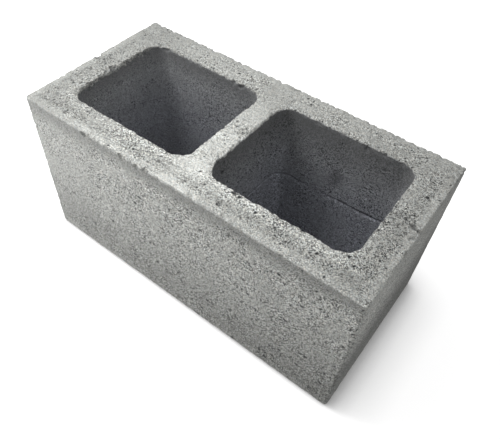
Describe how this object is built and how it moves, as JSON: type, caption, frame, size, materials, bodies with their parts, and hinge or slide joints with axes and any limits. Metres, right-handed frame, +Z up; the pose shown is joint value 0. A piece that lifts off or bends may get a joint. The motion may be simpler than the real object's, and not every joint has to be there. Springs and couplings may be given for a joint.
{
  "type": "hollow concrete block",
  "caption": "Hollow concrete masonry block with tapered, round-cornered cores open top to bottom, plain flat ends and worn edges, laid in mortar to build walls.",
  "frame": {"origin": "centre of the bottom bed face", "axes": "+X along the length of the wall, +Y through the wall, +Z up to the bed face where the cores are widest"},
  "size_m": [0.397, 0.194, 0.194],
  "materials": {
    "concrete": "dry-cast concrete with an open grain, left as it came from the mould"
  },
  "bodies": {
    "root": {"block": "concrete"}
  },
  "joints": []
}
